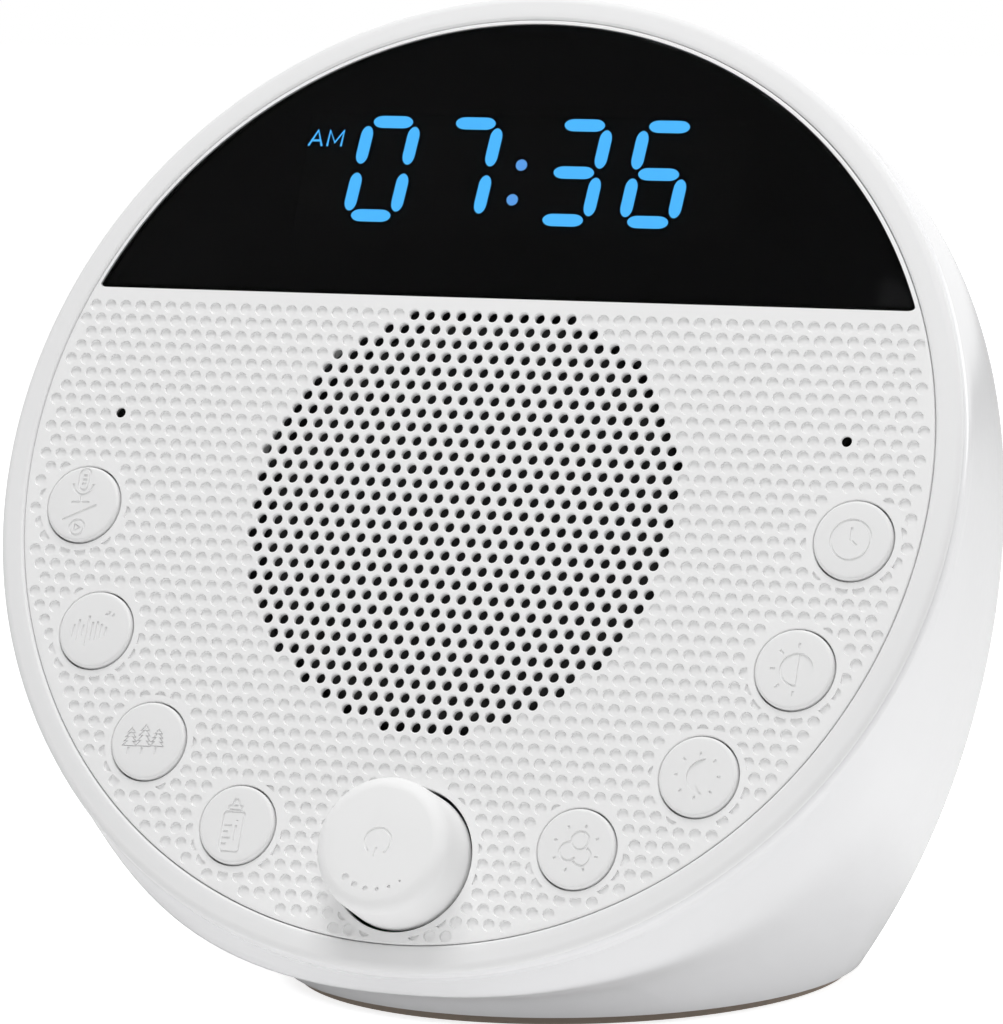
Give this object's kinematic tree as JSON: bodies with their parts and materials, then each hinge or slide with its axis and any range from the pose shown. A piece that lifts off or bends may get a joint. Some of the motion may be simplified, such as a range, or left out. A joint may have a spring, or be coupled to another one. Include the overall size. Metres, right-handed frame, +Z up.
{
  "type": "white noise sound machine",
  "caption": "White noise sound machine: a round face that leans back, with a perforated speaker panel, a digital clock, an arc of push buttons and a knob that turns and presses.",
  "frame": {"origin": "middle of the foot's underside, on the table", "axes": "+Z up; the face looks towards -Y and leans back 24 degrees; +X to the right seen from the front"},
  "size_m": [0.1324, 0.125, 0.1307],
  "materials": {
    "face_white": "fine matte ABS",
    "button_white": "fine matte ABS",
    "knob_white": "fine matte ABS",
    "housing_white": "polished white ABS",
    "base_white": "matte ABS",
    "lens_black": "polished smoked acrylic",
    "mask_black": "printed film",
    "module_black": "moulded reflector frame",
    "segment_blue": "lit light guide",
    "board_green": "solder mask on glass fibre",
    "board_white": "white solder mask",
    "steel": "zinc plated",
    "pad_tan": "soft matte",
    "seal_grey": "closed cell foam",
    "basket_black": "pressed and coated black",
    "surround_black": "matte",
    "cone_black": "treated paper",
    "magnet_black": "ferrite and plated steel",
    "switch_black": "moulded",
    "encoder_grey": "pressed housing",
    "plunger_ivory": "nylon",
    "shaft_metal": "turned",
    "capsule_metal": "drawn can",
    "boot_black": "matte",
    "chip_black": "moulded packages",
    "socket_metal": "drawn shell",
    "diffuser_white": "translucent white",
    "led_yellow": "phosphor on white package"
  },
  "bodies": {
    "root": {"front_bezel": "face_white", "grille_panel": "face_white", "display_lens": "lens_black", "lens_mask": "mask_black", "display_module": "module_black", "lit_segments": "segment_blue", "display_board": "board_green", "display_screws": "steel", "rear_housing": "housing_white", "base_plate": "base_white", "base_screws": "steel", "foot_pad": "pad_tan", "speaker_gasket": "seal_grey", "speaker_frame": "basket_black", "speaker_surround": "surround_black", "speaker_cone": "cone_black", "dust_cap": "cone_black", "speaker_magnet": "magnet_black", "speaker_screws": "steel", "button_board": "board_green", "tact_switches": "switch_black", "board_screws": "steel", "encoder_body": "encoder_grey", "microphones": "capsule_metal", "microphone_boots": "boot_black", "main_board": "board_green", "main_board_parts": "chip_black", "power_socket": "socket_metal", "main_board_screws": "steel", "light_column": "diffuser_white", "light_board": "board_white", "light_leds": "led_yellow"},
    "record_key": {"button_record": "button_white", "stem_record": "plunger_ivory"},
    "nature_key": {"button_nature": "button_white", "stem_nature": "plunger_ivory"},
    "forest_key": {"button_forest": "button_white", "stem_forest": "plunger_ivory"},
    "lullaby_key": {"button_lullaby": "button_white", "stem_lullaby": "plunger_ivory"},
    "colour_key": {"button_colour": "button_white", "stem_colour": "plunger_ivory"},
    "night_key": {"button_night": "button_white", "stem_night": "plunger_ivory"},
    "dimmer_key": {"button_dimmer": "button_white", "stem_dimmer": "plunger_ivory"},
    "timer_key": {"button_timer": "button_white", "stem_timer": "plunger_ivory"},
    "knob_press": {"encoder_plunger": "plunger_ivory"},
    "knob_turn": {"encoder_shaft": "shaft_metal", "volume_knob": "knob_white"}
  },
  "joints": [
    {"name": "press_record", "type": "slide", "parent": "root", "child": "record_key", "axis": [0, 0.9135, -0.4067], "range_m": [0, 0.0005], "stiffness_N_per_m": 2000},
    {"name": "press_nature", "type": "slide", "parent": "root", "child": "nature_key", "axis": [0, 0.9135, -0.4067], "range_m": [0, 0.0005], "stiffness_N_per_m": 2000},
    {"name": "press_forest", "type": "slide", "parent": "root", "child": "forest_key", "axis": [0, 0.9135, -0.4067], "range_m": [0, 0.0005], "stiffness_N_per_m": 2000},
    {"name": "press_lullaby", "type": "slide", "parent": "root", "child": "lullaby_key", "axis": [0, 0.9135, -0.4067], "range_m": [0, 0.0005], "stiffness_N_per_m": 2000},
    {"name": "press_colour", "type": "slide", "parent": "root", "child": "colour_key", "axis": [0, 0.9135, -0.4067], "range_m": [0, 0.0005], "stiffness_N_per_m": 2000},
    {"name": "press_night", "type": "slide", "parent": "root", "child": "night_key", "axis": [0, 0.9135, -0.4067], "range_m": [0, 0.0005], "stiffness_N_per_m": 2000},
    {"name": "press_dimmer", "type": "slide", "parent": "root", "child": "dimmer_key", "axis": [0, 0.9135, -0.4067], "range_m": [0, 0.0005], "stiffness_N_per_m": 2000},
    {"name": "press_timer", "type": "slide", "parent": "root", "child": "timer_key", "axis": [0, 0.9135, -0.4067], "range_m": [0, 0.0005], "stiffness_N_per_m": 2000},
    {"name": "press_knob", "type": "slide", "parent": "root", "child": "knob_press", "axis": [0, 0.9135, -0.4067], "range_m": [0, 0.0005], "stiffness_N_per_m": 6000},
    {"name": "turn_knob", "type": "hinge", "parent": "knob_press", "child": "knob_turn", "pos_m": [0, -0.05846, 0.02384], "axis": [0, 0.9135, -0.4067], "continuous": true}
  ]
}
